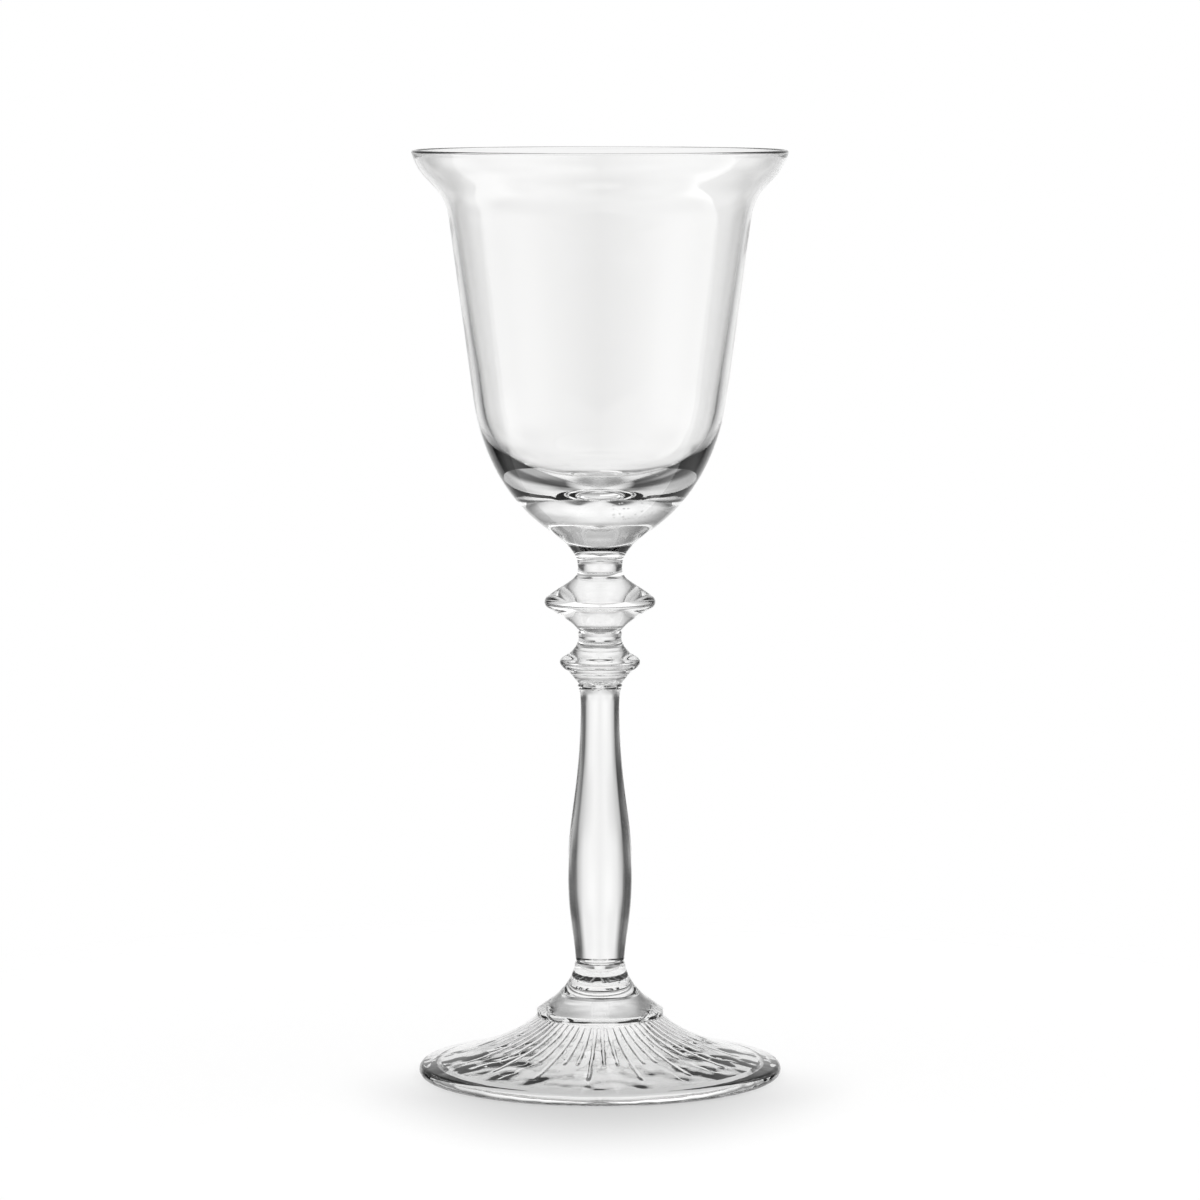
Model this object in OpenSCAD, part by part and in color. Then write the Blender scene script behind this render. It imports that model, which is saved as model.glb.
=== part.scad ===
// A stemmed cocktail glass in clear glass: a bell bowl, two knops, a swelling stem, a flared collar
// and a wide foot with a moulded sunburst. Each piece is a solid of revolution about the upright
// axis, and is welded face to face on the piece below it. Lengths are in millimetres. The origin is
// on the axis, in the plane that the foot stands on.

/* [Bowl] */
// Height of the bowl, from its weld on the large knop to the crest of the lip
bowl_h = 78.2; // [66:0.1:95]
// Width across the outside of the lip
lip_d = 72.2; // [64:0.1:86]
// Thickness of the round, fire-polished lip
lip_t = 1; // [0.8:0.1:1.6]
// Height of the flared mouth, from the top of the straight wall to the crest
mouth_h = 13.5; // [9:0.1:18]
// Outside width where the straight wall meets the flared mouth
wall_top_d = 57.8; // [50:0.1:62]
// Outside width where the round belly meets the straight wall
wall_foot_d = 48.8; // [42:0.1:56]
// Height of the round belly, from the weld to the straight wall
belly_h = 31.2; // [26:0.1:38]
// Height of the inward curve that gathers the belly into the neck
gather_h = 4.8; // [3:0.1:8]
// Outside width where that curve meets the belly
gather_d = 18.4; // [14:0.1:24]
// How far the bowl's weld face stands out past the neck under it
bowl_weld_ledge = 0.2; // [0.1:0.05:1]
// Thickness of the wall where it meets the flared mouth, and on up to the lip
wall_top_t = 1; // [0.8:0.05:1.6]
// Thickness of the wall where the straight part meets the belly
wall_foot_t = 1.75; // [1:0.05:2.4]
// Thickness of the solid glass under the drink, on the axis
base_t = 12.4; // [9:0.1:20]

/* [Large knop] */
// Height of the large knop with the neck above it
large_knop_h = 14.1; // [13:0.1:20]
// Width across the edge of the large knop
large_knop_d = 21.4; // [16:0.1:28]
// Height of that edge above the weld under the knop
large_knop_rise = 5.45; // [4.5:0.05:6.4]
// Height of its upper side, from the edge to the step at the neck
large_knop_side = 4.95; // [4:0.05:5.6]
// Slope of its sides at the edge, in degrees from the upright
large_knop_slope = 51; // [45:1:60]
// Radius of the rounded edge
large_knop_edge_r = 1.2; // [0.6:0.1:2]
// Step in from the knop's upper side to the neck
large_knop_step = 0.3; // [0.05:0.05:0.5]
// Width of the upper neck where it rises from the knop
upper_neck_foot_d = 9; // [8:0.1:10]
// Width of the upper neck at its waist
upper_neck_waist_d = 8.6; // [7:0.1:9]
// Drop from the weld under the bowl to that waist
upper_neck_waist_drop = 2; // [1:0.1:2.6]
// Width of the upper neck at the weld under the bowl
upper_neck_top_d = 9.2; // [8:0.1:10]
// How far the knop's weld face stands out past the neck under it
large_knop_weld_ledge = 0.3; // [0.1:0.05:0.8]

/* [Small knop] */
// Height of the small knop with the neck above it
small_knop_h = 10.4; // [9.6:0.1:14]
// Width across the edge of the small knop
small_knop_d = 15.5; // [12:0.1:20]
// Height of that edge above the weld under the knop
small_knop_rise = 4.2; // [3.5:0.1:4.8]
// Height of its upper side, from the edge to the step at the neck
small_knop_side = 2.9; // [2.5:0.1:3.5]
// Slope of its sides at the edge, in degrees from the upright
small_knop_slope = 36; // [30:1:56]
// Radius of the rounded edge
small_knop_edge_r = 0.9; // [0.5:0.1:1.4]
// Step in from the knop's upper side to the neck
small_knop_step = 0.1; // [0.05:0.05:0.4]
// Width of the lower neck where it rises from the knop
lower_neck_foot_d = 9.4; // [8:0.1:10]
// Width of the lower neck at its waist
lower_neck_waist_d = 8.3; // [7:0.1:9]
// Drop from the weld under the large knop to that waist
lower_neck_waist_drop = 1.4; // [0.8:0.1:1.6]
// Width of the lower neck at the weld under the large knop
lower_neck_top_d = 8.6; // [8:0.1:10]
// How far the knop's weld face stands out past the stem under it
small_knop_weld_ledge = 0.1; // [0:0.05:0.8]

/* [Stem] */
// Height of the stem between its two welds
stem_h = 54; // [44:0.5:80]
// Width of the stem's thinnest place
stem_thin_d = 7.5; // [6:0.1:9]
// Width of the stem's fullest place
stem_full_d = 12.4; // [10:0.1:16]
// Height of the fullest place above the weld on the collar
stem_full_rise = 17.7; // [12:0.1:22]
// Drop from the weld under the small knop to the thinnest place
stem_thin_drop = 4.2; // [3:0.1:8]
// Width of the stem at the small knop
stem_top_d = 8.6; // [7:0.1:10]
// Width of the stem at the collar
stem_foot_d = 9.4; // [8:0.1:12]

/* [Collar] */
// Height of the collar between the foot and the stem
collar_h = 10.7; // [8:0.1:14]
// Width of the low rim that the collar stands on
collar_rim_d = 24.5; // [20:0.1:30]
// Height of that rim
collar_rim_h = 1.3; // [0.8:0.1:2]
// How far the collar's weld face stands out past the stem on it
collar_top_ledge = 0.2; // [0:0.05:0.8]

/* [Foot] */
// Width across the foot
foot_d = 70.2; // [60:0.1:84]
// Height of the foot, from the table to the collar
foot_h = 11.6; // [11:0.1:15]
// Thickness of the foot's rounded edge
foot_edge_t = 2.5; // [2:0.1:3.4]
// How far the foot's weld face stands out past the collar's rim on it
foot_weld_ledge = 0.35; // [0.1:0.05:1]
// Distance from the foot's outer edge in to the inner side of the ring that it stands on
rest_ring_w = 3.8; // [3:0.1:8]
// Width of the flat in the middle of the hollow underside
hollow_flat_d = 16; // [10:0.1:20]
// Height of that flat above the table
hollow_h = 9.6; // [7:0.1:10.4]
// Height of the hollow's outer lip, where the curved underside turns down to the ring
hollow_lip_h = 1; // [0.6:0.1:1.4]

/* [Sunburst] */
// Number of long ribs round the underside
long_ribs = 16; // [8:1:16]
// Number of short ribs between two long ones
short_ribs = 2; // [0:1:2]
// Turn of the first long rib from the front
rib_turn = -5; // [-20:1:20]
// Width of each rib
rib_w = 0.8; // [0.4:0.1:0.8]
// How far each rib stands out from the underside
rib_h = 0.2; // [0.1:0.05:0.4]
// Distance from the edge of the middle flat to the inner end of every rib
rib_start_gap = 0.3; // [0.1:0.1:3]
// Distance from the outer end of a long rib to the outer edge of the curved underside
long_rib_gap = 5.3; // [1:0.1:7]
// Distance from the outer end of a short rib to the outer edge of the curved underside
short_rib_gap = 11.3; // [1:0.1:12]

/* [Welds] */
// Depth of the fine groove round the weld under the bowl
bowl_weld_groove = 0.15; // [0.1:0.05:0.4]
// Depth of the groove round the weld between the knops
knop_weld_groove = 0.45; // [0.1:0.05:0.5]
// Depth of the fine grooves round the welds at the top and the foot of the stem
stem_weld_groove = 0.3; // [0.1:0.05:0.4]
// Depth of the fine groove round the weld on the foot
foot_weld_groove = 0.3; // [0.1:0.05:0.4]

/* [Hidden] */

$fn = 96;
// Straight steps in each smooth stretch of an outline, and along a rib
curve_steps = 12;
rib_steps = 4;
glass_colour = [0.87, 0.9, 0.91];

// Height of each weld above the table
collar_z = foot_h;
stem_z = collar_z + collar_h;
small_knop_z = stem_z + stem_h;
large_knop_z = small_knop_z + small_knop_h;
bowl_z = large_knop_z + large_knop_h;

// Widths of the weld faces, from the neck, stem or rim that each one meets
bowl_weld_d = upper_neck_top_d + 2 * bowl_weld_ledge;
large_knop_weld_d = lower_neck_top_d + 2 * large_knop_weld_ledge;
small_knop_weld_d = stem_top_d + 2 * small_knop_weld_ledge;
collar_top_d = stem_foot_d + 2 * collar_top_ledge;
foot_weld_d = collar_rim_d + 2 * foot_weld_ledge;

// Widths under the foot: the standing ring's inner side, and the curved underside within it
rest_inner_d = foot_d - 2 * rest_ring_w;
hollow_d = rest_inner_d - 2 * hollow_lip_h;

// Distance from the axis to the inner end of every rib
rib_start = hollow_flat_d / 2 + rib_start_gap;

// Shares of a stretch's height at which its outline still runs straight on from either end
gather_shares = [0.12, 0.42];
belly_shares = [0.19, 0.49];
mouth_shares = [0.59, 0.51];
cavity_shares = [0.38, 0.87];
stem_low_shares = [0.36, 0.5];
stem_long_shares = [0.35, 0.5];
stem_top_shares = [0.8, 0.1];
collar_shares = [0.19, 0.51];
foot_shares = [0.33, 0.3];
large_low_shares = [0.28, 0.05];
large_side_shares = [0.48, 0.21];
small_low_shares = [0.9, 0.46];
small_side_shares = [0.3, 0.68];
neck_shares = [0.4, 0.4];

// Lean of an outline at the ends of its stretches, as width gained for each unit of height
gather_lean_share = 0.17;
belly_lean_share = 1.5;
mouth_lean_share = 0.3;
large_weld_lean_share = 0.5;
large_shoulder_lean_share = -0.5;
upper_neck_foot_lean_share = -0.25;
upper_neck_top_lean_share = 0.35;
small_weld_lean_share = 0.7;
small_shoulder_lean_share = -0.72;
lower_neck_foot_lean_share = -0.45;
lower_neck_top_lean_share = 0.15;
stem_foot_lean_share = 0.08;
collar_lean_share = -1.5;
collar_top_lean_share = -0.08;
foot_top_lean_share = -1.1;
foot_edge_lean_share = -4.6;
hollow_edge_lean_share = -5.5;
hollow_top_lean_share = -1;

// Places on the bowl's axis and wall, above its weld
wall_top_z = bowl_h - mouth_h;
wall_lean = (wall_top_d - wall_foot_d) / 2 / (wall_top_z - belly_h);
lip_centre = [lip_d / 2 - lip_t / 2, bowl_h - lip_t / 2];

// Points of a cubic curve, without its first point a
function cubic(a, b, c, d) =
    [
        for (i = [1:curve_steps])
            let (t = i / curve_steps)
            let (u = 1 - t)
            u * u * u * a + 3 * u * u * t * b + 3 * u * t * t * c + t * t * t * d
    ];

// Points of a smooth stretch from a to d, each a [radius, height], without a itself. It leaves and
// arrives at the given leans, and runs on straight for the given shares of its height.
function stretch(a, d, lean_a, lean_d, shares) =
    let (rise = d.y - a.y)
    cubic(a, a + rise * shares[0] * [lean_a, 1], d - rise * shares[1] * [lean_d, 1], d);

// Points of an arc about a centre, from one angle to another
function arc(centre, radius, from, to) =
    [
        for (i = [0:curve_steps])
            let (angle = from + (to - from) * i / curve_steps)
            centre + radius * [cos(angle), sin(angle)]
    ];

// The same points, each moved sideways by its own distance, square to the line through its neighbours
function beside(points, distances) =
    let (last = len(points) - 1)
    [
        for (i = [0:last])
            let (along = points[min(i + 1, last)] - points[max(i - 1, 0)])
            points[i] + distances[i] * [-along.y, along.x] / norm(along)
    ];

// The same points in the opposite order
function reversed(points) = [for (i = [len(points) - 1:-1:0]) points[i]];

// Turns an outline of [radius, height] points into a solid round the axis
module turned(outline) {
    color(glass_colour) rotate_extrude() polygon(outline);
}

// Outline of the bowl's outside from the belly's widest place to the lip
function bowl_outer_wall() =
    let (foot = [wall_foot_d / 2, belly_h])
    let (top = [wall_top_d / 2, wall_top_z])
    let (lip = [lip_d / 2, lip_centre.y])
    concat([foot, top], stretch(top, lip, wall_lean, mouth_lean_share, mouth_shares));

// The bowl's rounded floor, from the foot of its inner wall to the axis. It runs on from the wall,
// whose next point up is given too.
function cavity(above, edge) =
    let (lean = (above.x - edge.x) / (above.y - edge.y))
    let (drop = (edge.y - base_t) * cavity_shares[0])
    cubic(edge, edge - drop * [lean, 1], [edge.x * cavity_shares[1], base_t], [0, base_t]);

// The bell bowl, open at the top, with a thick solid base
module bowl() {
    weld = [bowl_weld_d / 2, bowl_weld_groove];
    gathered = [gather_d / 2, gather_h];
    outer_wall = bowl_outer_wall();
    thicknesses = [for (i = [0:len(outer_wall) - 1]) i == 0 ? wall_foot_t : wall_top_t];
    inner_wall = reversed(beside(outer_wall, thicknesses));
    inner_last = len(inner_wall) - 1;
    outline = concat(
        [[0, 0], [bowl_weld_d / 2 - bowl_weld_groove, 0], weld],
        stretch(weld, gathered, gather_lean_share, belly_lean_share, gather_shares),
        stretch(gathered, outer_wall[0], belly_lean_share, wall_lean, belly_shares),
        [for (i = [1:len(outer_wall) - 2]) outer_wall[i]],
        arc(lip_centre, lip_t / 2, 0, 180),
        [for (i = [1:inner_last]) inner_wall[i]],
        cavity(inner_wall[inner_last - 1], inner_wall[inner_last])
    );
    translate([0, 0, bowl_z]) turned(outline);
}

// The solid lower part of a knop: its weld face, its lower side and its rounded edge. The lower side
// runs on into the edge.
function knop_body(weld_d, groove, weld_lean, knop_d, rise, slope, edge_r, shares) =
    let (weld = [weld_d / 2, groove])
    let (edge = arc([knop_d / 2 - edge_r, rise], edge_r, -slope, slope))
    concat(
        [[0, 0], [weld_d / 2 - groove, 0], weld],
        stretch(weld, edge[0], weld_lean, tan(slope), shares),
        [for (i = [1:curve_steps]) edge[i]]
    );

// The waisted neck over a knop, from its foot by way of its waist to its top and the weld face there
function neck(foot, waist, top_d, height, groove, leans) =
    let (top = [top_d / 2, height - groove])
    concat(
        [foot],
        stretch(foot, waist, leans[0], 0, neck_shares),
        stretch(waist, top, 0, leans[1], neck_shares),
        [[top_d / 2 - groove, height], [0, height]]
    );

// The large knop and the neck that carries the bowl
module large_knop() {
    body = knop_body(
        large_knop_weld_d, knop_weld_groove, large_weld_lean_share, large_knop_d, large_knop_rise,
        large_knop_slope, large_knop_edge_r, large_low_shares
    );
    neck_foot_z = large_knop_rise + large_knop_side + large_knop_step;
    foot = [upper_neck_foot_d / 2, neck_foot_z];
    shoulder = foot + large_knop_step * [1, -1];
    waist = [upper_neck_waist_d / 2, large_knop_h - upper_neck_waist_drop];
    outline = concat(
        body,
        stretch(
            body[len(body) - 1], shoulder, -tan(large_knop_slope), large_shoulder_lean_share,
            large_side_shares
        ),
        neck(
            foot, waist, upper_neck_top_d, large_knop_h, bowl_weld_groove,
            [upper_neck_foot_lean_share, upper_neck_top_lean_share]
        )
    );
    translate([0, 0, large_knop_z]) turned(outline);
}

// The small knop and the neck that carries the large knop
module small_knop() {
    body = knop_body(
        small_knop_weld_d, stem_weld_groove, small_weld_lean_share, small_knop_d, small_knop_rise,
        small_knop_slope, small_knop_edge_r, small_low_shares
    );
    neck_foot_z = small_knop_rise + small_knop_side + small_knop_step;
    foot = [lower_neck_foot_d / 2, neck_foot_z];
    shoulder = foot + small_knop_step * [1, -1];
    waist = [lower_neck_waist_d / 2, small_knop_h - lower_neck_waist_drop];
    outline = concat(
        body,
        stretch(
            body[len(body) - 1], shoulder, -tan(small_knop_slope), small_shoulder_lean_share,
            small_side_shares
        ),
        neck(
            foot, waist, lower_neck_top_d, small_knop_h, knop_weld_groove,
            [lower_neck_foot_lean_share, lower_neck_top_lean_share]
        )
    );
    translate([0, 0, small_knop_z]) turned(outline);
}

// The stem, full near its foot and thin near its top
module stem() {
    foot = [stem_foot_d / 2, stem_weld_groove];
    full = [stem_full_d / 2, stem_full_rise];
    thin = [stem_thin_d / 2, stem_h - stem_thin_drop];
    top = [stem_top_d / 2, stem_h - stem_weld_groove];
    outline = concat(
        [[0, 0], [stem_foot_d / 2 - stem_weld_groove, 0], foot],
        stretch(foot, full, stem_foot_lean_share, 0, stem_low_shares),
        stretch(full, thin, 0, 0, stem_long_shares),
        stretch(thin, top, 0, 0, stem_top_shares),
        [[stem_top_d / 2 - stem_weld_groove, stem_h], [0, stem_h]]
    );
    translate([0, 0, stem_z]) turned(outline);
}

// The flared collar between the stem and the foot
module foot_collar() {
    rim = [collar_rim_d / 2, collar_rim_h];
    top = [collar_top_d / 2, collar_h - stem_weld_groove];
    outline = concat(
        [[0, 0], [collar_rim_d / 2 - foot_weld_groove, 0], [collar_rim_d / 2, foot_weld_groove], rim],
        stretch(rim, top, collar_lean_share, collar_top_lean_share, collar_shares),
        [[collar_top_d / 2 - stem_weld_groove, collar_h], [0, collar_h]]
    );
    translate([0, 0, collar_z]) turned(outline);
}

// Outline of the foot's curved underside, from its outer lip up to the middle flat
function underside() =
    let (lip = [hollow_d / 2, hollow_lip_h])
    let (flat = [hollow_flat_d / 2, hollow_h])
    concat([lip], stretch(lip, flat, hollow_edge_lean_share, hollow_top_lean_share, foot_shares));

// One rib: a bar that follows the underside, and stands out from it as far as it is sunk in it. It
// ends a gap short of the underside's outer lip.
module rib(gap) {
    reach = hollow_d / 2 - gap;
    places = [for (i = [0:rib_steps]) rib_start + (reach - rib_start) * i / rib_steps];
    crest = [for (out = places) [out, lookup(out, underside()) - rib_h]];
    root = [for (point = crest) point + [0, 2 * rib_h]];
    rotate([90, 0, 0])
        linear_extrude(rib_w, center = true)
            polygon(concat(crest, reversed(root)));
}

// The sunburst: long ribs with short ones between them
module sunburst() {
    group = short_ribs + 1;
    ribs = long_ribs * group;
    for (i = [0:ribs - 1])
        rotate([0, 0, rib_turn - 90 + 360 * i / ribs])
            rib(i % group == 0 ? long_rib_gap : short_rib_gap);
}

// The foot: a flared top, a rounded edge and a hollow underside with the sunburst on it
module foot() {
    edge_centre = [(foot_d - foot_edge_t) / 2, foot_edge_t / 2];
    edge = arc(edge_centre, foot_edge_t / 2, -90, atan(-foot_edge_lean_share));
    weld = [foot_weld_d / 2, foot_h - foot_weld_groove];
    outline = concat(
        [[0, hollow_h]],
        reversed(underside()),
        [[rest_inner_d / 2, 0]],
        edge,
        stretch(edge[curve_steps], weld, foot_edge_lean_share, foot_top_lean_share, foot_shares),
        [[foot_weld_d / 2 - foot_weld_groove, foot_h], [0, foot_h]]
    );
    turned(outline);
    color(glass_colour) sunburst();
}

bowl();
large_knop();
small_knop();
stem();
foot_collar();
foot();
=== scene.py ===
# %% [markdown]
# A stemmed cocktail glass in clear glass, photographed on a white ground.
#
# The real glass is made hot, a gather at a time: a blown bowl, two pressed knops, a drawn stem, a
# flared collar and a pressed foot, welded end to end while they are soft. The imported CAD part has
# the same six pieces as solids. They have flat steps along their curves, which a printer never
# shows, but clear glass bends light at every one of them. So each piece is turned again here, from
# the same curves with finer steps, and stands for its CAD solid.

from math import atan, atan2, cos, degrees, hypot, pi, radians, sin, tan, tau
from random import Random

import bmesh
import bpy
from mathutils import Matrix, Vector
from mathutils.geometry import interpolate_bezier


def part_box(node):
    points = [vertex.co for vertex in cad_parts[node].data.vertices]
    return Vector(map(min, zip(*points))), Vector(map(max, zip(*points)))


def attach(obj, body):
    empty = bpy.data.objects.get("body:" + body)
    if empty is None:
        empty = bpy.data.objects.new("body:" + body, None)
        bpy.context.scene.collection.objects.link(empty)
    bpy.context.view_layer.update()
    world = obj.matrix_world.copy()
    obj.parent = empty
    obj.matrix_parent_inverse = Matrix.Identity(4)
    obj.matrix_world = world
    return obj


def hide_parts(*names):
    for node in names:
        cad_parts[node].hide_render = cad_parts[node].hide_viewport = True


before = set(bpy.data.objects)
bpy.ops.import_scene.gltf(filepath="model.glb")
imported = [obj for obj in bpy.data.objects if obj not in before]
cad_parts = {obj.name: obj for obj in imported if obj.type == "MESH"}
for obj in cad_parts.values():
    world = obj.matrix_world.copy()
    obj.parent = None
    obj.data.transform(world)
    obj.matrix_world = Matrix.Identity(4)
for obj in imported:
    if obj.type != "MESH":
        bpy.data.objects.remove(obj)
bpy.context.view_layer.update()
scene = bpy.context.scene
print("pieces in the frame:", ", ".join(sorted(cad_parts)))

# %% [markdown]
# Heights come from the frame. The welds are planes across the axis, so the top of each CAD piece says
# where one is, and the widest places of the pieces come from their boxes too.


# %% Heights of the welds and the widest places
def top_of(node):
    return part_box(node)[1].z


def radius_of(node):
    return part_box(node)[1].x


FOOT_WELD = top_of("foot")
COLLAR_WELD = top_of("foot_collar")
STEM_WELD = top_of("stem")
NECK_WELD = top_of("small_knop")
BOWL_WELD = top_of("large_knop")
BRIM = top_of("bowl")
print(f"welds at {FOOT_WELD:.4f} {COLLAR_WELD:.4f} {STEM_WELD:.4f} {NECK_WELD:.4f} {BOWL_WELD:.4f} m")

# %% [markdown]
# The camera stands about a metre away, a little above the rim, and looks slightly down with a long
# lens. The ellipses of the lip and the foot fix its height and distance. A long lens from far off
# keeps the two rims nearly flat, as a catalogue picture wants them, and the small downward tilt
# shows the top of the foot.

# %% Camera
CAMERA_DISTANCE = 1.085
CAMERA_HEIGHT = 0.19945
CAMERA_TILT = radians(5.63)
SENSOR_WIDTH = 36.0
FOCAL_LENGTH = 169.74

camera_data = bpy.data.cameras.new("camera")
camera_data.sensor_width = SENSOR_WIDTH
camera_data.lens = FOCAL_LENGTH
camera = bpy.data.objects.new("camera", camera_data)
camera.location = (0, -CAMERA_DISTANCE, CAMERA_HEIGHT)
camera.rotation_euler = (pi / 2 - CAMERA_TILT, 0, 0)
scene.collection.objects.link(camera)
scene.camera = camera
view_angle = 2 * degrees(atan(SENSOR_WIDTH / 2 / FOCAL_LENGTH))
print(f"camera sees {view_angle:.1f} degrees across")

# %% [markdown]
# A material is a small network of nodes. Two helpers keep that network readable. `Socket` wraps one
# output of a node, and its arithmetic adds Math nodes, so a mask can be written as an expression.
# `Nodes` adds any other node from its type, its settings and its inputs.


# %% Helpers for node networks
class Socket:
    """One number in a node network. Arithmetic on it adds Math nodes."""

    def __init__(self, nodes, output):
        self.nodes = nodes
        self.output = output

    def maths(self, operation, *others):
        inputs = dict(enumerate((self, *others)))
        return self.nodes.add("ShaderNodeMath", {"operation": operation}, inputs)

    def __add__(self, other):
        return self.maths("ADD", other)

    def __radd__(self, other):
        return self.maths("ADD", other)

    def __sub__(self, other):
        return self.maths("SUBTRACT", other)

    def __rsub__(self, other):
        return self.nodes.add("ShaderNodeMath", {"operation": "SUBTRACT"}, {0: other, 1: self})

    def __mul__(self, other):
        return self.maths("MULTIPLY", other)

    def __rmul__(self, other):
        return self.maths("MULTIPLY", other)

    def __truediv__(self, other):
        return self.maths("DIVIDE", other)

    def above(self, edge):
        return self.maths("GREATER_THAN", edge)

    def rising(self, start, end):
        """0 below start, 1 above end, and a smooth rise between them."""
        settings = {"interpolation_type": "SMOOTHSTEP", "clamp": True}
        inputs = {"Value": self, "From Min": start, "From Max": end}
        return self.nodes.add("ShaderNodeMapRange", settings, inputs)


class Nodes:
    """Builds one node network."""

    def __init__(self, tree):
        self.tree = tree
        tree.nodes.clear()

    def add(self, kind, settings=None, inputs=None, output=0):
        node = self.tree.nodes.new(kind)
        for name, value in (settings or {}).items():
            if name == "stops":
                self.set_stops(node.color_ramp, value)
            else:
                setattr(node, name, value)
        for name, value in (inputs or {}).items():
            if isinstance(value, Socket):
                self.tree.links.new(value.output, node.inputs[name])
            else:
                node.inputs[name].default_value = value
        return Socket(self, node.outputs[output]) if node.outputs else node

    def parts(self, vector):
        """The three numbers of a vector."""
        return [self.add("ShaderNodeSeparateXYZ", {}, {0: vector}, output) for output in range(3)]

    def set_stops(self, ramp, stops):
        """Gives a colour ramp its stops, as pairs of a place and a grey."""
        while len(ramp.elements) < len(stops):
            ramp.elements.new(1)
        for element, (place, grey) in zip(ramp.elements, stops):
            element.position = place
            element.color = (grey, grey, grey, 1)


# %% [markdown]
# The light. Clear glass has no colour of its own to show: it is drawn by what stands round it. The
# photographer's way is a bright ground: a narrow white wall behind the glass, a dimmer room beside
# it, whose image in the curved sides gives the glass its grey outline, and two tall white panels
# forward of that, whose straight edges show as the crisp lines in the bowl.
#
# Lamps and cards could stand round the glass as objects. The room is painted on the world instead,
# as a grey for each direction, because a ray that leaves the glass then meets a smooth sky at once,
# which keeps the glass free of noise. Rays from the camera itself see plain white.
#
# The greys of the bands began as the rounded results of a fit, made outside this script, of how
# bright each direction has to be for the glass to look as it does in the photograph. Most of them
# were then changed against renders, but together they still follow that fit. The stem's dark edges
# show the room beside the wall, the bowl's grey sides show the wall's ends and the room in front, and
# the slopes of the knops and of the base look up over the wall or down at the table.

# %% Room
# Each band is an elevation in degrees, then the brightness round the left and round the right. A
# pair there is an angle from straight behind the glass, in degrees, and a grey. The wall's middle
# and the room on the camera's side are shared by several bands.
WALL_MIDDLE = [(0, 0.94), (8, 0.98)]
BRIGHTEST_WALL = [(0, 0.94), (8, 1.03), (13, 1.02)]
LEFT_FRONT = [(105, 0.6), (180, 0.5)]
RIGHT_FRONT = [(105, 0.6), (140, 0.7), (180, 0.5)]
BANDS = [
    # The ground close to the glass.
    (-65, [(0, 0.4), (30, 0.35), (60, 0.4), (100, 0.5), (130, 0.5)],
          [(0, 0.4), (30, 0.35), (60, 0.7), (100, 0.7), (130, 0.5)]),
    # The table, lit in a narrow strip straight behind and again far out to the sides.
    (-42, [(0, 1.0), (6, 0.8), (10, 0.1), (20, 0.1), (42, 0.6), (100, 0.6), (130, 0.3)],
          [(0, 1.0), (7, 0.8), (14, 0.2), (20, 0.1), (45, 0.5), (60, 0.6), (100, 0.6), (130, 0.3)]),
    (-28, [(0, 1.0), (7, 0.8), (10, 0.1), (18, 0.1), (30, 0.4), (44, 0.35), (55, 0.7), (100, 0.7),
           (130, 0.4)],
          [(0, 1.0), (8, 0.9), (11, 0.1), (18, 0.2), (30, 0.5), (43, 0.6), (60, 0.7), (100, 0.7),
           (130, 0.4)]),
    # The wall, and the dark room beside it.
    (-17, WALL_MIDDLE + [(13, 0.88), (33, 0.55), (38, 0.05), (64, 0.15), (90, 0.4), (130, 0.6), (180, 0.5)],
          WALL_MIDDLE + [(13, 0.9), (33, 0.55), (39, 0.15), (57, 0.5), (72, 0.35), (90, 0.5), (130, 0.7),
                         (180, 0.5)]),
    (-11.5, WALL_MIDDLE + [(13, 0.97), (22, 0.85), (32, 0.45), (38, 0.1), (50, 0.15), (60, 0.35), (90, 0.3)]
            + LEFT_FRONT,
            WALL_MIDDLE + [(13, 0.99), (22, 0.87), (32, 0.5), (38, 0.1), (50, 0.15), (60, 0.45), (90, 0.4)]
            + RIGHT_FRONT),
    (-6, BRIGHTEST_WALL + [(22, 0.85), (32, 0.5), (37, 0.05), (75, 0.05), (90, 0.2)] + LEFT_FRONT,
         BRIGHTEST_WALL + [(22, 0.87), (32, 0.5), (37, 0.1), (75, 0.1), (90, 0.3)] + RIGHT_FRONT),
    (0, WALL_MIDDLE + [(13, 0.9), (24, 0.85), (35, 0.05), (85, 0.1), (104, 0.3), (120, 0.8), (180, 0.6)],
        WALL_MIDDLE + [(13, 0.92), (24, 0.87), (35, 0.05), (88, 0.1), (104, 0.3), (120, 0.8), (180, 0.6)]),
    # The wall's top, and what shows over it.
    (9, [(0, 0.9), (12, 0.7), (20, 0.6), (30, 0.3), (42, 0.2), (55, 0.5), (85, 0.5), (120, 1.1), (180, 0.8)],
        [(0, 0.9), (12, 0.7), (20, 0.5), (30, 0.4), (42, 0.3), (55, 0.7), (75, 0.8), (88, 0.6), (120, 1.0),
         (180, 0.8)]),
    (28, [(0, 0.5), (10, 0.5), (20, 0.3), (30, 0.1), (45, 0.75), (60, 0.85), (85, 0.6), (120, 1.0),
          (180, 0.9)],
         [(0, 0.5), (10, 0.5), (20, 0.35), (30, 0.15), (45, 0.85), (60, 1.0), (85, 0.6), (120, 1.0),
          (180, 0.9)]),
    # The soft light overhead.
    (60, [(0, 0.3), (20, 0.2), (36, 0.25), (50, 0.9), (85, 1.5), (180, 0.9)],
         [(0, 0.3), (20, 0.2), (36, 0.25), (50, 1.1), (85, 1.9), (180, 1.0)]),
]

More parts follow.
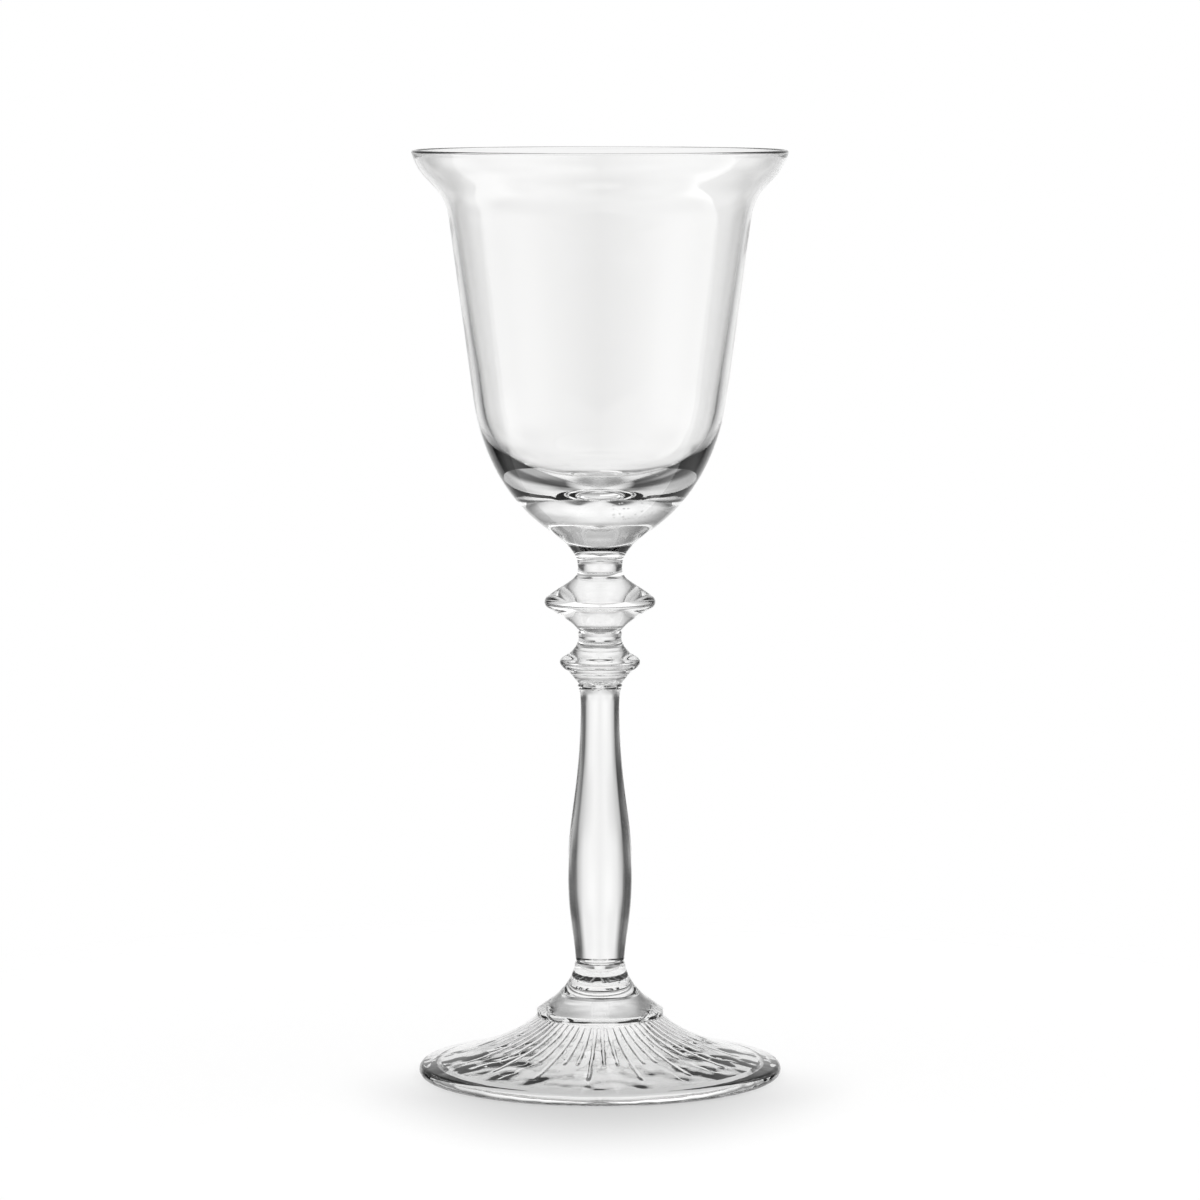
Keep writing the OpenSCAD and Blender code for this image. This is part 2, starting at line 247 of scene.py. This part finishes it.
# A panel's far edge is upright down to some height and then runs back under the glass. So it is the
# farther back of two planes: one leans back this much for each unit sideways, and the other for
# each unit down. The greys are the panel's at its middle and at its foot, and each fades towards the
# camera. The panel's top climbs towards the camera too, by the slope, and its image ends near the
# glass's own foot.
LEFT_PANEL = {"sideways": 0.27, "down": 0.8, "middle": 1.15, "foot": 1.2}
RIGHT_PANEL = {"sideways": 0.24, "down": 0.42, "middle": 1.4, "foot": 2.0}
MIDDLE_FADE = [(60, 1.0), (112, 1.0), (140, 0.6), (180, 0.3)]
FOOT_FADE = [(50, 1.0), (72, 1.0), (90, 0.5), (140, 0.4), (180, 0.2)]
PANEL_END = (radians(-62), radians(-52))
PANEL_FOOT = (radians(-20), radians(-34))
PANEL_HEAD = (radians(-10), radians(-5))
HEAD_SLOPE = 0.3
HEAD_SLOPE_STARTS = radians(78)


def side_brightness(nodes, turn, stops):
    """A brightness from the angle turned away from straight behind."""
    stops = [(angle / 180, grey) for angle, grey in stops]
    return nodes.add("ShaderNodeValToRGB", {"stops": stops}, {"Fac": turn / pi})


def paint_bands(nodes, x, turn, height):
    """The wall, the table and the room beside them."""
    room = 0
    below = -90
    for elevation, left_stops, right_stops in BANDS:
        left = side_brightness(nodes, turn, left_stops)
        right = side_brightness(nodes, turn, right_stops)
        band = left + (right - left) * x.above(0)
        room = room + (band - room) * height.rising(radians(below), radians(elevation))
        below = elevation
    return room


def paint_panel(nodes, panel, side, y, z, turn, height):
    """Where a panel is, and how bright it is there. Side is the distance sideways on its own side."""
    edge = (side * panel["sideways"]).maths("MAXIMUM", z * -panel["down"])
    where = side.above(0) * edge.above(y)
    middle = panel["middle"] * side_brightness(nodes, turn, MIDDLE_FADE)
    foot = panel["foot"] * side_brightness(nodes, turn, FOOT_FADE)
    return where, middle + (foot - middle) * height.rising(*PANEL_FOOT)


def paint_room(world):
    world.use_nodes = True
    nodes = Nodes(world.node_tree)
    x, y, z = nodes.parts(nodes.add("ShaderNodeTexCoord"))
    turn = x.maths("ABSOLUTE").maths("ARCTAN2", y)
    height = z.maths("ARCSINE")
    room = paint_bands(nodes, x, turn, height)
    below_head = 1 - (height - (turn - HEAD_SLOPE_STARTS) * HEAD_SLOPE).rising(*PANEL_HEAD)
    shown = below_head * height.rising(*PANEL_END)
    for panel, side in ((LEFT_PANEL, x * -1), (RIGHT_PANEL, x)):
        where, brightness = paint_panel(nodes, panel, side, y, z, turn, height)
        room = room + (brightness - room) * where * shown
    seen = nodes.add("ShaderNodeLightPath")
    light = nodes.add("ShaderNodeBackground", {}, {"Color": room + (1 - room) * seen, "Strength": 1.0})
    nodes.add("ShaderNodeOutputWorld", {}, {"Surface": light})


scene.world = bpy.data.worlds.new("white_studio")
paint_room(scene.world)
scene.view_settings.view_transform = "Standard"

# %% [markdown]
# The floor is a pale disc under the glass. Its task is to carry the soft shade in front of the foot,
# so it fades to nothing before its rim, and the white of the room goes on where it ends. The shade is
# painted into the floor's colour and glow, because the light that a real glass throws into its own
# shadow would take a renderer long to find. Rays inside the glass see only the middle of the disc. A
# large table would do the same in the picture, but it would hide the lower room from the sides of the
# bowl. The painted shade reaches those rays only outside the middle of the foot, so right under it
# they find the floor bright: a painted stand-in for the light that the foot gathers there.

# %% Floor
FLOOR_RADIUS = 0.2
FLOOR_FADE_STARTS = 0.16
SEEN_IN_GLASS_RADIUS = 0.042
SEEN_IN_GLASS_FADE_STARTS = 0.032
FLOOR_DROP = 0.00005
FLOOR_GREY = 0.3
FLOOR_GLOW = 0.74
SHADE_CENTRE = (0, 0.005)
SHADE_ACROSS = 0.055
SHADE_ALONG = 0.098
SHADE_CORE = 0.35
SHADE_DEPTH = 0.36
SHADE_ENDS = (-0.03, 0.015)
SHADE_IN_GLASS = (0.016, 0.027)


def floor_material():
    material = bpy.data.materials.new("white_ground")
    material.use_nodes = True
    nodes = Nodes(material.node_tree)
    place = nodes.add("ShaderNodeTexCoord", output=3)
    out = nodes.add("ShaderNodeVectorMath", {"operation": "LENGTH"}, {0: place}, output=1)
    camera_ray = nodes.add("ShaderNodeLightPath")
    near = out.rising(SEEN_IN_GLASS_FADE_STARTS, SEEN_IN_GLASS_RADIUS)
    fade = near + (out.rising(FLOOR_FADE_STARTS, FLOOR_RADIUS) - near) * camera_ray
    x, y, _ = nodes.parts(place)
    across = (x - SHADE_CENTRE[0]) / SHADE_ACROSS
    along = (y - SHADE_CENTRE[1]) / SHADE_ALONG
    # Painted shade: a soft pool of shade in front of the foot, laid into the floor's colour and glow.
    pool = (across * across + along * along).maths("SQRT").rising(1, SHADE_CORE)
    in_front = 1 - y.rising(*SHADE_ENDS)
    # Rays in the glass meet the painted shade only outside the foot's middle. The floor there stays bright as
    # a painted stand-in for the light the foot gathers.
    seen = camera_ray.maths("MAXIMUM", out.rising(*SHADE_IN_GLASS))
    light = 1 - SHADE_DEPTH * (pool * in_front * seen)
    ground = nodes.add("ShaderNodeBsdfPrincipled", {}, {
        "Base Color": FLOOR_GREY * light,
        "Roughness": 1.0,
        "Specular IOR Level": 0.0,
        "Emission Color": FLOOR_GLOW * light,
        "Emission Strength": 1.0,
    })
    clear = nodes.add("ShaderNodeBsdfTransparent")
    mixed = nodes.add("ShaderNodeMixShader", {}, {0: fade, 1: ground, 2: clear})
    nodes.add("ShaderNodeOutputMaterial", {}, {"Surface": mixed})
    return material


def make_floor():
    bm = bmesh.new()
    bmesh.ops.create_circle(bm, cap_ends=True, segments=96, radius=FLOOR_RADIUS)
    bmesh.ops.translate(bm, verts=bm.verts, vec=(0, 0, -FLOOR_DROP))
    mesh = bpy.data.meshes.new("floor")
    bm.to_mesh(mesh)
    bm.free()
    floor = bpy.data.objects.new("floor", mesh)
    scene.collection.objects.link(floor)
    mesh.materials.append(floor_material())
    return floor


make_floor()

# %% [markdown]
# The glass itself. One material serves the six pieces: clear, neutral, polished by the fire, with
# the bending power of soda-lime glass. Hot glass never comes out quite flat, so a very faint, broad
# ripple is laid over it as a bump, with a finer one on the foot, whose mould was rougher. Where two
# pieces are welded there is no surface at all inside the glass, so the weld faces get a second
# material that lets light straight through.

# %% Glass
GLASS_COLOUR = (0.975, 0.975, 0.973, 1)
GLASS_BENDING = 1.5
RIPPLE_SIZE = 0.012
RIPPLE_HEIGHT = 0.00004
FOOT_RIPPLE_SIZE = 0.006
FOOT_RIPPLE_HEIGHT = 0.00024
FOOT_RIPPLE_FADE = 0.002


def glass_material():
    material = bpy.data.materials.new("clear_glass")
    material.use_nodes = True
    nodes = Nodes(material.node_tree)
    place = nodes.add("ShaderNodeTexCoord", output=3)
    broad, fine = [
        nodes.add("ShaderNodeTexNoise", {}, {"Vector": place, "Scale": 1 / size, "Detail": 1.0})
        for size in (RIPPLE_SIZE, FOOT_RIPPLE_SIZE)
    ]
    on_foot = 1 - nodes.parts(place)[2].rising(FOOT_WELD - FOOT_RIPPLE_FADE, FOOT_WELD)
    ripple = broad + FOOT_RIPPLE_HEIGHT / RIPPLE_HEIGHT * on_foot * fine
    bump = nodes.add("ShaderNodeBump", {}, {"Height": ripple, "Strength": 1.0, "Distance": RIPPLE_HEIGHT})
    glass = nodes.add("ShaderNodeBsdfPrincipled", {}, {
        "Base Color": GLASS_COLOUR,
        "Roughness": 0.0,
        "IOR": GLASS_BENDING,
        "Transmission Weight": 1.0,
        "Normal": bump,
    })
    nodes.add("ShaderNodeOutputMaterial", {}, {"Surface": glass})
    return material


def weld_material():
    material = bpy.data.materials.new("weld_inside")
    material.use_nodes = True
    nodes = Nodes(material.node_tree)
    clear = nodes.add("ShaderNodeBsdfTransparent")
    nodes.add("ShaderNodeOutputMaterial", {}, {"Surface": clear})
    return material


clear_glass = glass_material()
weld_inside = weld_material()

# %% [markdown]
# Turning. A lathe piece is half an outline, spun round the axis. The outline is a chain of smooth
# curves and arcs, the same ones as the CAD piece has, only with finer steps. Each curve leaves and
# arrives at a lean, which is the width gained for each unit of height, and runs on straight for a
# share of its height before it turns.

# %% Curves of an outline
CURVE_STEPS = 28
SIDES = 256


def stretch(start, end, lean_start, lean_end, share_start, share_end, steps=CURVE_STEPS):
    """Points of a smooth curve from start to end, without start itself."""
    start, end = Vector(start), Vector(end)
    rise = end.y - start.y
    near = start + Vector((lean_start, 1)) * rise * share_start
    far = end - Vector((lean_end, 1)) * rise * share_end
    return interpolate_bezier(start, near, far, end, steps + 1)[1:]


def arc(centre, radius, first, last, steps=CURVE_STEPS):
    """Points of an arc about a centre, between two angles in degrees."""
    centre = Vector(centre)
    angles = [radians(first + (last - first) * step / steps) for step in range(steps + 1)]
    return [centre + radius * Vector((cos(angle), sin(angle))) for angle in angles]


def beside(points, thickness):
    """The same points, moved square to the line through their neighbours by the thickness there."""
    moved = []
    for i, point in enumerate(points):
        along = points[min(i + 1, len(points) - 1)] - points[max(i - 1, 0)]
        moved.append(point + thickness(point.y) * Vector((-along.y, along.x)).normalized())
    return moved


# %% Turning an outline into a piece
WEDGES = 16
SAME_PLACE = 1e-6
SHARP_FROM = radians(25)


def is_fused(face, height, radius):
    """Whether a face lies in a weld, which is a height and the radius it is fused to."""
    places = [(vert.co.z, hypot(vert.co.x, vert.co.y)) for vert in face.verts]
    return all(abs(z - height) < SAME_PLACE and out < radius + SAME_PLACE for z, out in places)


def turned(outline, welds=(), sides=SIDES):
    """Turns an outline of (radius, height) points. The faces in its welds get the second material."""
    bm = bmesh.new()
    chain = [bm.verts.new((r, 0, z)) for r, z in outline]
    edges = [bm.edges.new(pair) for pair in zip(chain, chain[1:])]
    wedge = tau / WEDGES
    bmesh.ops.spin(bm, geom=chain + edges, cent=(0, 0, 0), axis=(0, 0, 1), angle=wedge, steps=sides // WEDGES)
    while wedge < tau:
        copied = bmesh.ops.duplicate(bm, geom=bm.verts[:] + bm.edges[:] + bm.faces[:])["geom"]
        copied_verts = [part for part in copied if isinstance(part, bmesh.types.BMVert)]
        bmesh.ops.rotate(bm, verts=copied_verts, matrix=Matrix.Rotation(wedge, 3, "Z"))
        wedge *= 2
    bmesh.ops.remove_doubles(bm, verts=bm.verts, dist=SAME_PLACE)
    bmesh.ops.recalc_face_normals(bm, faces=bm.faces)
    for face in bm.faces:
        face.smooth = True
        if any(is_fused(face, height, radius) for height, radius in welds):
            face.material_index = 1
    return bm


def finish_piece(name, bm, node):
    """Makes the piece that stands for a CAD node."""
    mesh = bpy.data.meshes.new(name)
    bm.to_mesh(mesh)
    bm.free()
    mesh.set_sharp_from_angle(angle=SHARP_FROM)
    mesh.materials.append(clear_glass)
    mesh.materials.append(weld_inside)
    piece = bpy.data.objects.new(name, mesh)
    scene.collection.objects.link(piece)
    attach(piece, "root")
    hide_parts(node)
    size = piece.dimensions
    print(f"{name}: {size.x * 1000:.1f} mm across, {size.z * 1000:.1f} mm high, {len(mesh.polygons)} faces")
    return piece


# %% [markdown]
# Seeds are small air bubbles that a gather of hot glass traps. The base of the bowl holds a few, and
# the hurried weld on the stem's top is grey with fine ones. A seed could be a speck in the material,
# but a bubble bends light like a lens, so each is a small ball in its piece's own mesh. It is a hollow
# in the glass, so the faces of the ball point into it.

# %% Seeds in the glass
WELD_SEEDS = 60
WELD_SEED_RADII = (0.00005, 0.00016)
WELD_SEED_DEPTHS = (0.0001, 0.0006)
FROM_WELD = 0.0006
SPREAD = 0.0003


def add_seed(bm, place, radius):
    ball = bmesh.ops.create_icosphere(bm, subdivisions=2, radius=radius, matrix=Matrix.Translation(place))
    faces = list({face for vert in ball["verts"] for face in vert.link_faces})
    bmesh.ops.reverse_faces(bm, faces=faces)
    for face in faces:
        face.smooth = True


def add_weld_seeds(bm, seeds, height, reach):
    """Strews fine seeds in a thin ring just inside a weld's groove."""
    for _ in range(WELD_SEEDS):
        turn = seeds.uniform(0, tau)
        out = reach - seeds.uniform(*WELD_SEED_DEPTHS)
        place = (out * cos(turn), out * sin(turn), height + seeds.uniform(-SPREAD, SPREAD))
        add_seed(bm, place, seeds.uniform(*WELD_SEED_RADII))


# %% [markdown]
# The bowl: a bell with a flared mouth, blown in a mould, its lip cut and rounded in the fire. The
# wall is thin, and the base under the drink is thick and solid, which is where the light plays most.
# The outline runs from the weld up the outside, round the lip, and down the inside to the axis.

# %% Bowl
MOUTH_HEIGHT = 0.0135
WALL_TOP_RADIUS = 0.0289
WALL_FOOT_RADIUS = 0.0244
BELLY_HEIGHT = 0.0312
GATHER = (0.0092, 0.0048)
BOWL_WELD_RADIUS = 0.0048
BOWL_GROOVE = 0.00015
UPPER_NECK_TOP = 0.0046
WALL_AT_MOUTH = 0.001
WALL_AT_BELLY = 0.00175
LIP = 0.001
BASE = 0.0124
CAVITY_SIDE_SHARE = 0.38
CAVITY_FLOOR_SHARE = 0.87
BASE_SEEDS = 14
BASE_SEEDS_ACROSS = (0.002, 0.0095)
BASE_SEEDS_ALONG = (-0.006, -0.002)
BASE_SEED_DEPTHS = (0.0005, 0.0013)
BASE_SEED_RADII = (0.0001, 0.00022)


def make_bowl():
    lip_radius = radius_of("bowl")
    wall_top = Vector((WALL_TOP_RADIUS, BRIM - MOUTH_HEIGHT))
    wall_foot = Vector((WALL_FOOT_RADIUS, BOWL_WELD + BELLY_HEIGHT))
    lean = (wall_top.x - wall_foot.x) / (wall_top.y - wall_foot.y)
    lip_centre = (lip_radius - LIP / 2, BRIM - LIP / 2)
    weld = (BOWL_WELD_RADIUS, BOWL_WELD + BOWL_GROOVE)
    gather = (GATHER[0], BOWL_WELD + GATHER[1])
    fused = UPPER_NECK_TOP - BOWL_GROOVE
    floor_height = BOWL_WELD + BASE

    def thickness(height):
        """The wall thins from the belly to the foot of the mouth."""
        share = (height - wall_foot.y) / (wall_top.y - wall_foot.y)
        return WALL_AT_BELLY + (WALL_AT_MOUTH - WALL_AT_BELLY) * min(max(share, 0), 1)

    side = [wall_foot.lerp(wall_top, step / CURVE_STEPS) for step in range(CURVE_STEPS + 1)]
    wall = side + stretch(wall_top, (lip_radius, lip_centre[1]), lean, 0.3, 0.59, 0.51)
    inner = beside(wall, thickness)[::-1]
    edge = inner[-1]
    drop = (edge.y - floor_height) * CAVITY_SIDE_SHARE
    near = edge - drop * (inner[-2] - edge) / (inner[-2] - edge).y
    far = Vector((edge.x * CAVITY_FLOOR_SHARE, floor_height))
    cavity = interpolate_bezier(edge, near, far, Vector((0, floor_height)), 2 * CURVE_STEPS)[1:]

    outline = [(0, BOWL_WELD), (fused, BOWL_WELD), (BOWL_WELD_RADIUS - BOWL_GROOVE, BOWL_WELD), weld]
    outline += stretch(weld, gather, 0.17, 1.5, 0.12, 0.42)
    outline += stretch(gather, wall_foot, 1.5, lean, 0.19, 0.49)
    outline += wall[1:-1] + arc(lip_centre, LIP / 2, 0, 180) + inner[1:] + cavity
    bm = turned(outline, [(BOWL_WELD, fused)])
    seeds = Random(5)
    for _ in range(BASE_SEEDS):
        x, y = seeds.uniform(*BASE_SEEDS_ACROSS), seeds.uniform(*BASE_SEEDS_ALONG)
        place = (x, y, floor_height - seeds.uniform(*BASE_SEED_DEPTHS))
        add_seed(bm, place, seeds.uniform(*BASE_SEED_RADII))
    return finish_piece("bowl_glass", bm, "bowl")


make_bowl()

# %% [markdown]
# The knops. Each is a sharp-edged disc and the waisted neck above it, in one pressing. The disc
# catches the light, and the neck carries the piece above. A small radius on the edge keeps the disc
# from looking machined, and a small step marks the place where the mould closed on the neck.

# %% Knops
KNOP_GROOVE = 0.00045
STEM_GROOVE = 0.0003
LOWER_NECK_TOP = 0.0043
STEM_TOP_RADIUS = 0.0043


def knop_body(bottom, fused, weld_radius, groove, weld_lean, radius, rise, slope, edge_radius, shares):
    """The weld face, the lower side and the rounded edge."""
    edge = arc((radius - edge_radius, bottom + rise), edge_radius, -slope, slope)
    weld = (weld_radius, bottom + groove)
    outline = [(0, bottom), (fused, bottom), (weld_radius - groove, bottom), weld]
    return outline + stretch(weld, edge[0], weld_lean, tan(radians(slope)), *shares) + edge[1:]


def neck(foot, waist, top, groove, lean_foot, lean_top):
    """The waisted neck, from its foot by way of its waist to the weld face on its top."""
    rim = (top[0], top[1] - groove)
    sides = stretch(foot, waist, lean_foot, 0, 0.4, 0.4) + stretch(waist, rim, 0, lean_top, 0.4, 0.4)
    return [foot] + sides + [(top[0] - groove, top[1]), (0, top[1])]


def make_large_knop():
    fused_low = LOWER_NECK_TOP - KNOP_GROOVE
    fused_high = UPPER_NECK_TOP - BOWL_GROOVE
    outline = knop_body(
        NECK_WELD, fused_low, weld_radius=0.0046, groove=KNOP_GROOVE, weld_lean=0.5,
        radius=radius_of("large_knop"), rise=0.00545, slope=51, edge_radius=0.0012, shares=(0.28, 0.05),
    )
    shoulder = (0.0048, NECK_WELD + 0.0104)
    foot = (0.0045, NECK_WELD + 0.0107)
    waist = (0.0043, BOWL_WELD - 0.002)
    outline += stretch(outline[-1], shoulder, -tan(radians(51)), -0.5, 0.48, 0.21)
    outline += neck(foot, waist, (UPPER_NECK_TOP, BOWL_WELD), BOWL_GROOVE, -0.25, 0.35)
    bm = turned(outline, [(NECK_WELD, fused_low), (BOWL_WELD, fused_high)])
    return finish_piece("large_knop_glass", bm, "large_knop")


def make_small_knop():
    fused_low = STEM_TOP_RADIUS - STEM_GROOVE
    fused_high = LOWER_NECK_TOP - KNOP_GROOVE
    outline = knop_body(
        STEM_WELD, fused_low, weld_radius=0.0044, groove=STEM_GROOVE, weld_lean=0.7,
        radius=radius_of("small_knop"), rise=0.0042, slope=36, edge_radius=0.0009, shares=(0.9, 0.46),
    )
    shoulder = (0.0048, STEM_WELD + 0.0071)
    foot = (0.0047, STEM_WELD + 0.0072)
    waist = (0.00415, NECK_WELD - 0.0014)
    outline += stretch(outline[-1], shoulder, -tan(radians(36)), -0.72, 0.3, 0.68)
    outline += neck(foot, waist, (LOWER_NECK_TOP, NECK_WELD), KNOP_GROOVE, -0.45, 0.15)
    bm = turned(outline, [(STEM_WELD, fused_low), (NECK_WELD, fused_high)])
    add_weld_seeds(bm, Random(11), STEM_WELD + FROM_WELD, STEM_TOP_RADIUS)
    return finish_piece("small_knop_glass", bm, "small_knop")


make_large_knop()
make_small_knop()

# %% [markdown]
# The stem is one drawn rod that swells low down and is thinnest near its top.

# %% Stem
STEM_THIN_RADIUS = 0.00375
STEM_THIN_DROP = 0.0042
STEM_FULL_RISE = 0.0177
STEM_FOOT_RADIUS = 0.0047


def make_stem():
    foot = (STEM_FOOT_RADIUS, COLLAR_WELD + STEM_GROOVE)
    full = (radius_of("stem"), COLLAR_WELD + STEM_FULL_RISE)
    thin = (STEM_THIN_RADIUS, STEM_WELD - STEM_THIN_DROP)
    top = (STEM_TOP_RADIUS, STEM_WELD - STEM_GROOVE)
    outline = [(0, COLLAR_WELD), (STEM_FOOT_RADIUS - STEM_GROOVE, COLLAR_WELD), foot]
    outline += stretch(foot, full, 0.08, 0, 0.36, 0.5)
    outline += stretch(full, thin, 0, 0, 0.35, 0.5)
    outline += stretch(thin, top, 0, 0, 0.8, 0.1)
    outline += [(STEM_TOP_RADIUS - STEM_GROOVE, STEM_WELD), (0, STEM_WELD)]
    welds = [(COLLAR_WELD, STEM_FOOT_RADIUS - STEM_GROOVE), (STEM_WELD, STEM_TOP_RADIUS - STEM_GROOVE)]
    bm = turned(outline, welds)
    add_weld_seeds(bm, Random(12), STEM_WELD - FROM_WELD, STEM_TOP_RADIUS - STEM_GROOVE)
    return finish_piece("stem_glass", bm, "stem")


make_stem()

# %% [markdown]
# The collar flares from the stem to a low rim that sits on the foot.

# %% Collar
COLLAR_TOP_RADIUS = 0.0049
COLLAR_RIM_HEIGHT = 0.0013
FOOT_GROOVE = 0.0003


def make_collar():
    rim_radius = radius_of("foot_collar")
    rim = (rim_radius, FOOT_WELD + COLLAR_RIM_HEIGHT)
    top = (COLLAR_TOP_RADIUS, COLLAR_WELD - STEM_GROOVE)
    fused_low = rim_radius - FOOT_GROOVE
    fused_high = STEM_FOOT_RADIUS - STEM_GROOVE
    outline = [(0, FOOT_WELD), (fused_low, FOOT_WELD), (rim_radius, FOOT_WELD + FOOT_GROOVE), rim]
    outline += stretch(rim, top, -1.5, -0.08, 0.19, 0.51)
    outline += [(COLLAR_TOP_RADIUS - STEM_GROOVE, COLLAR_WELD), (fused_high, COLLAR_WELD), (0, COLLAR_WELD)]
    bm = turned(outline, [(FOOT_WELD, fused_low), (COLLAR_WELD, fused_high)])
    return finish_piece("foot_collar_glass", bm, "foot_collar")


make_collar()

# %% [markdown]
# The foot: pressed, with a rounded edge, a hollow underside that follows the top, and a sunburst of
# fine ribs moulded into that underside. The ribs are not cut out or added. The turned underside has
# a column of points every fifth of a millimetre or less, and those under a rib are moved down to its
# round back.

# %% Foot
FOOT_SIDES = 960
UNDERSIDE_STEPS = 48
FOOT_EDGE_STEPS = 20
FOOT_EDGE = 0.0025
FOOT_WELD_RADIUS = 0.0126
REST_RING_WIDTH = 0.0038
HOLLOW_FLAT_RADIUS = 0.008
HOLLOW_HEIGHT = 0.0096
HOLLOW_LIP = 0.001
EDGE_LEAN = -4.6
ON_UNDERSIDE = 1e-5

LONG_RIBS = 16
RIBS_IN_A_GROUP = 3
RIB_TURN = radians(-5)
RIB_HALF_WIDTH = 0.0004
RIB_HEIGHT = 0.0002
RIB_START = 0.0083
LONG_RIB_REACH = 0.025
SHORT_RIB_REACH = 0.019


def height_on(points, out):
    """The height of an outline at a distance from the axis, or None beyond its ends."""
    for a, b in zip(points, points[1:]):
        if a.x <= out < b.x:
            return a.y + (b.y - a.y) * (out - a.x) / (b.x - a.x)
    return None


def rib_depth(x, y):
    """How far the underside is pushed down at a place, by the rib that is nearest to it."""
    out = hypot(x, y)
    step = tau / (LONG_RIBS * RIBS_IN_A_GROUP)
    turn = (atan2(x, -y) - RIB_TURN) / step
    nearest = round(turn)
    across = (turn - nearest) * step * out / RIB_HALF_WIDTH
    reach = LONG_RIB_REACH if nearest % RIBS_IN_A_GROUP == 0 else SHORT_RIB_REACH
    if abs(across) >= 1 or not RIB_START <= out <= reach:
        return 0
    return RIB_HEIGHT * (1 - across ** 2)


def make_foot():
    foot_radius = radius_of("foot")
    centre = (foot_radius - FOOT_EDGE / 2, FOOT_EDGE / 2)
    rest_radius = foot_radius - REST_RING_WIDTH
    edge = arc(centre, FOOT_EDGE / 2, -90, degrees(atan(-EDGE_LEAN)), FOOT_EDGE_STEPS)
    weld = (FOOT_WELD_RADIUS, FOOT_WELD - FOOT_GROOVE)
    lip = Vector((rest_radius - HOLLOW_LIP, HOLLOW_LIP))
    flat = Vector((HOLLOW_FLAT_RADIUS, HOLLOW_HEIGHT))
    underside = ([lip] + stretch(lip, flat, -5.5, -1, 0.33, 0.3, UNDERSIDE_STEPS))[::-1]
    fused = radius_of("foot_collar") - FOOT_GROOVE
    outline = [(0, HOLLOW_HEIGHT)] + underside + [(rest_radius, 0)] + edge
    outline += stretch(edge[-1], weld, EDGE_LEAN, -1.1, 0.33, 0.3)
    outline += [(FOOT_WELD_RADIUS - FOOT_GROOVE, FOOT_WELD), (fused, FOOT_WELD), (0, FOOT_WELD)]
    bm = turned(outline, [(FOOT_WELD, fused)], sides=FOOT_SIDES)
    for vert in bm.verts:
        surface = height_on(underside, hypot(vert.co.x, vert.co.y))
        if surface is not None and abs(vert.co.z - surface) < ON_UNDERSIDE:
            vert.co.z -= rib_depth(vert.co.x, vert.co.y)
    return finish_piece("foot_glass", bm, "foot")


make_foot()
